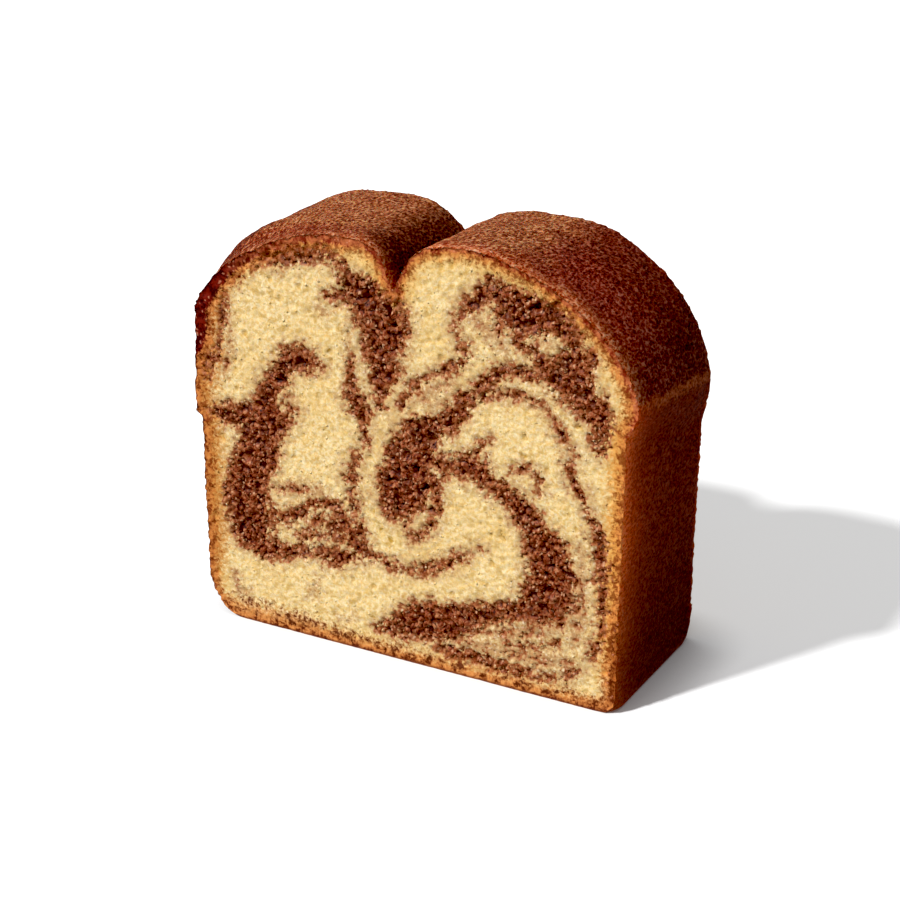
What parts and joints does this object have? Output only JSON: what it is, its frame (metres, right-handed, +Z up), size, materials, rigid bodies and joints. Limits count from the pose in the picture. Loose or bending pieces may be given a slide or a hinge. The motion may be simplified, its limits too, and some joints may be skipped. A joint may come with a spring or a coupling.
{
  "type": "marble loaf cake slice",
  "caption": "Thick slice of loaf cake with a split domed top, browned crust and swirled pale and cocoa crumb, standing on its flat base.",
  "frame": {"origin": "middle of the underside of the bounding box, at the height of the flat base", "axes": "+X across the loaf, +Y along the loaf from the front cut face to the back cut face, +Z up"},
  "size_m": [0.1012, 0.0388, 0.0909],
  "materials": {
    "cake": "baked, dry crumb with a browned matt crust"
  },
  "bodies": {
    "root": {"marble_loaf_slice": "cake"}
  },
  "joints": []
}
